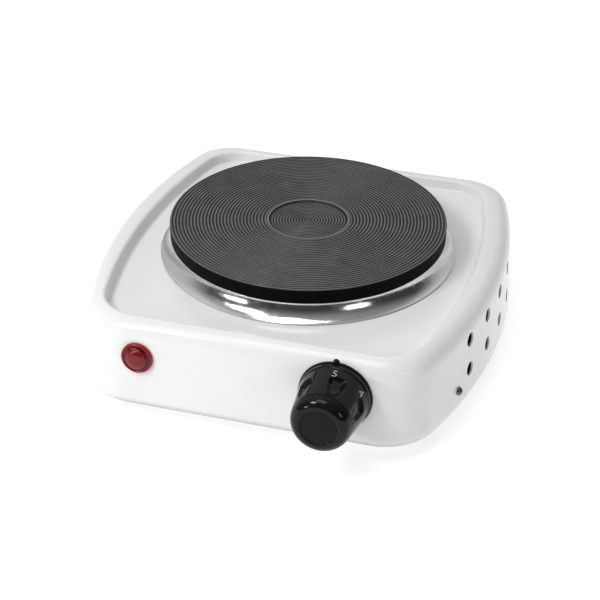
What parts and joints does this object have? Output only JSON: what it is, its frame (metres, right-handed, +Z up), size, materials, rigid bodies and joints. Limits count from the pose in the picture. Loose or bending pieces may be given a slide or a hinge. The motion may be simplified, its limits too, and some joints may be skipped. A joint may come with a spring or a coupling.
{
  "type": "electric hot plate burner",
  "caption": "Table-top electric hot plate: white enamelled housing with a raised rim, cast iron plate in a steel ring, side knob with stepped settings and a red lamp.",
  "frame": {"origin": "middle of the bounding box, at the undersides of the feet", "axes": "+X to the right, +Y to the back, away from the knob, +Z up out of the cooking surface"},
  "size_m": [0.2254, 0.2578, 0.071],
  "materials": {
    "enamel": "glossy vitreous white enamel",
    "cast_iron": "turned and blackened, satin",
    "stainless": "polished stainless steel",
    "steel": "zinc plated, satin",
    "brass": "satin",
    "black_gloss": "moulded, high gloss with a matte end",
    "black_plastic": "moulded, satin",
    "red_lens": "translucent red, gloss",
    "glass": "clear",
    "ceramic": "unglazed steatite",
    "magnesia": "pressed magnesia, matt",
    "resistance_wire": "oxidised",
    "rubber": "matt",
    "brown_sleeve": "woven glass sleeve",
    "blue_sleeve": "woven glass sleeve",
    "green_sleeve": "woven glass sleeve",
    "white_sleeve": "woven glass sleeve"
  },
  "bodies": {
    "root": {"housing": "enamel", "hot_plate": "cast_iron", "trim_ring": "stainless", "base_plate": "steel", "side_bracket_right": "steel", "side_bracket_left": "steel", "side_screw_right": "steel", "side_screw_left": "steel", "base_screw_right": "steel", "base_screw_left": "steel", "foot_screw_front_right": "steel", "foot_screw_front_left": "steel", "foot_screw_back_right": "steel", "foot_screw_back_left": "steel", "plate_cover": "steel", "heat_shield": "steel", "centre_stud": "steel", "clamp_bar": "steel", "spring_washer": "steel", "clamp_nut": "steel", "plate_terminal_1": "steel", "plate_terminal_2": "steel", "plate_terminal_3": "steel", "thermostat_bracket": "steel", "thermostat_nut": "steel", "lamp_retainer": "steel", "cord_clamp": "steel", "clamp_screw_1": "steel", "clamp_screw_2": "steel", "earth_screw": "steel", "fixed_contact_blade": "brass", "knob_bezel": "black_plastic", "lamp_body": "black_plastic", "cord_gland": "black_plastic", "thermal_fuse": "black_plastic", "lamp_lens": "red_lens", "neon_bulb": "glass", "plate_terminal_block": "ceramic", "mains_terminal_block": "ceramic", "thermostat_stack": "ceramic", "thermostat_spacer": "ceramic", "thermostat_end_cap": "ceramic", "inner_coil_bed": "magnesia", "outer_coil_bed": "magnesia", "inner_heating_coil": "resistance_wire", "outer_heating_coil": "resistance_wire", "foot_front_right": "rubber", "foot_front_left": "rubber", "foot_back_right": "rubber", "foot_back_left": "rubber", "live_wire": "brown_sleeve", "switched_wire": "brown_sleeve", "neutral_wire": "blue_sleeve", "earth_wire": "green_sleeve", "lamp_lead_1": "white_sleeve", "lamp_lead_2": "white_sleeve"},
    "knob": {"knob": "black_gloss", "knob_spring": "steel", "thermostat_shaft": "steel"},
    "contact_arm": {"contact_arm": "brass"}
  },
  "joints": [
    {"name": "knob_turn", "type": "hinge", "parent": "root", "child": "knob", "pos_m": [0.0486, -0.09578, 0.0375], "axis": [0, -0.999, 0.0436], "range_deg": [0, 270]},
    {"name": "contact_open", "type": "hinge", "parent": "root", "child": "contact_arm", "pos_m": [0.0366, -0.0806, 0.03684], "axis": [0, 0.0436, 0.999], "range_deg": [0, 2.5]}
  ],
  "couplings": [
    {"joint": "contact_open", "follows": "knob_turn", "ratio": 0.009259}
  ]
}
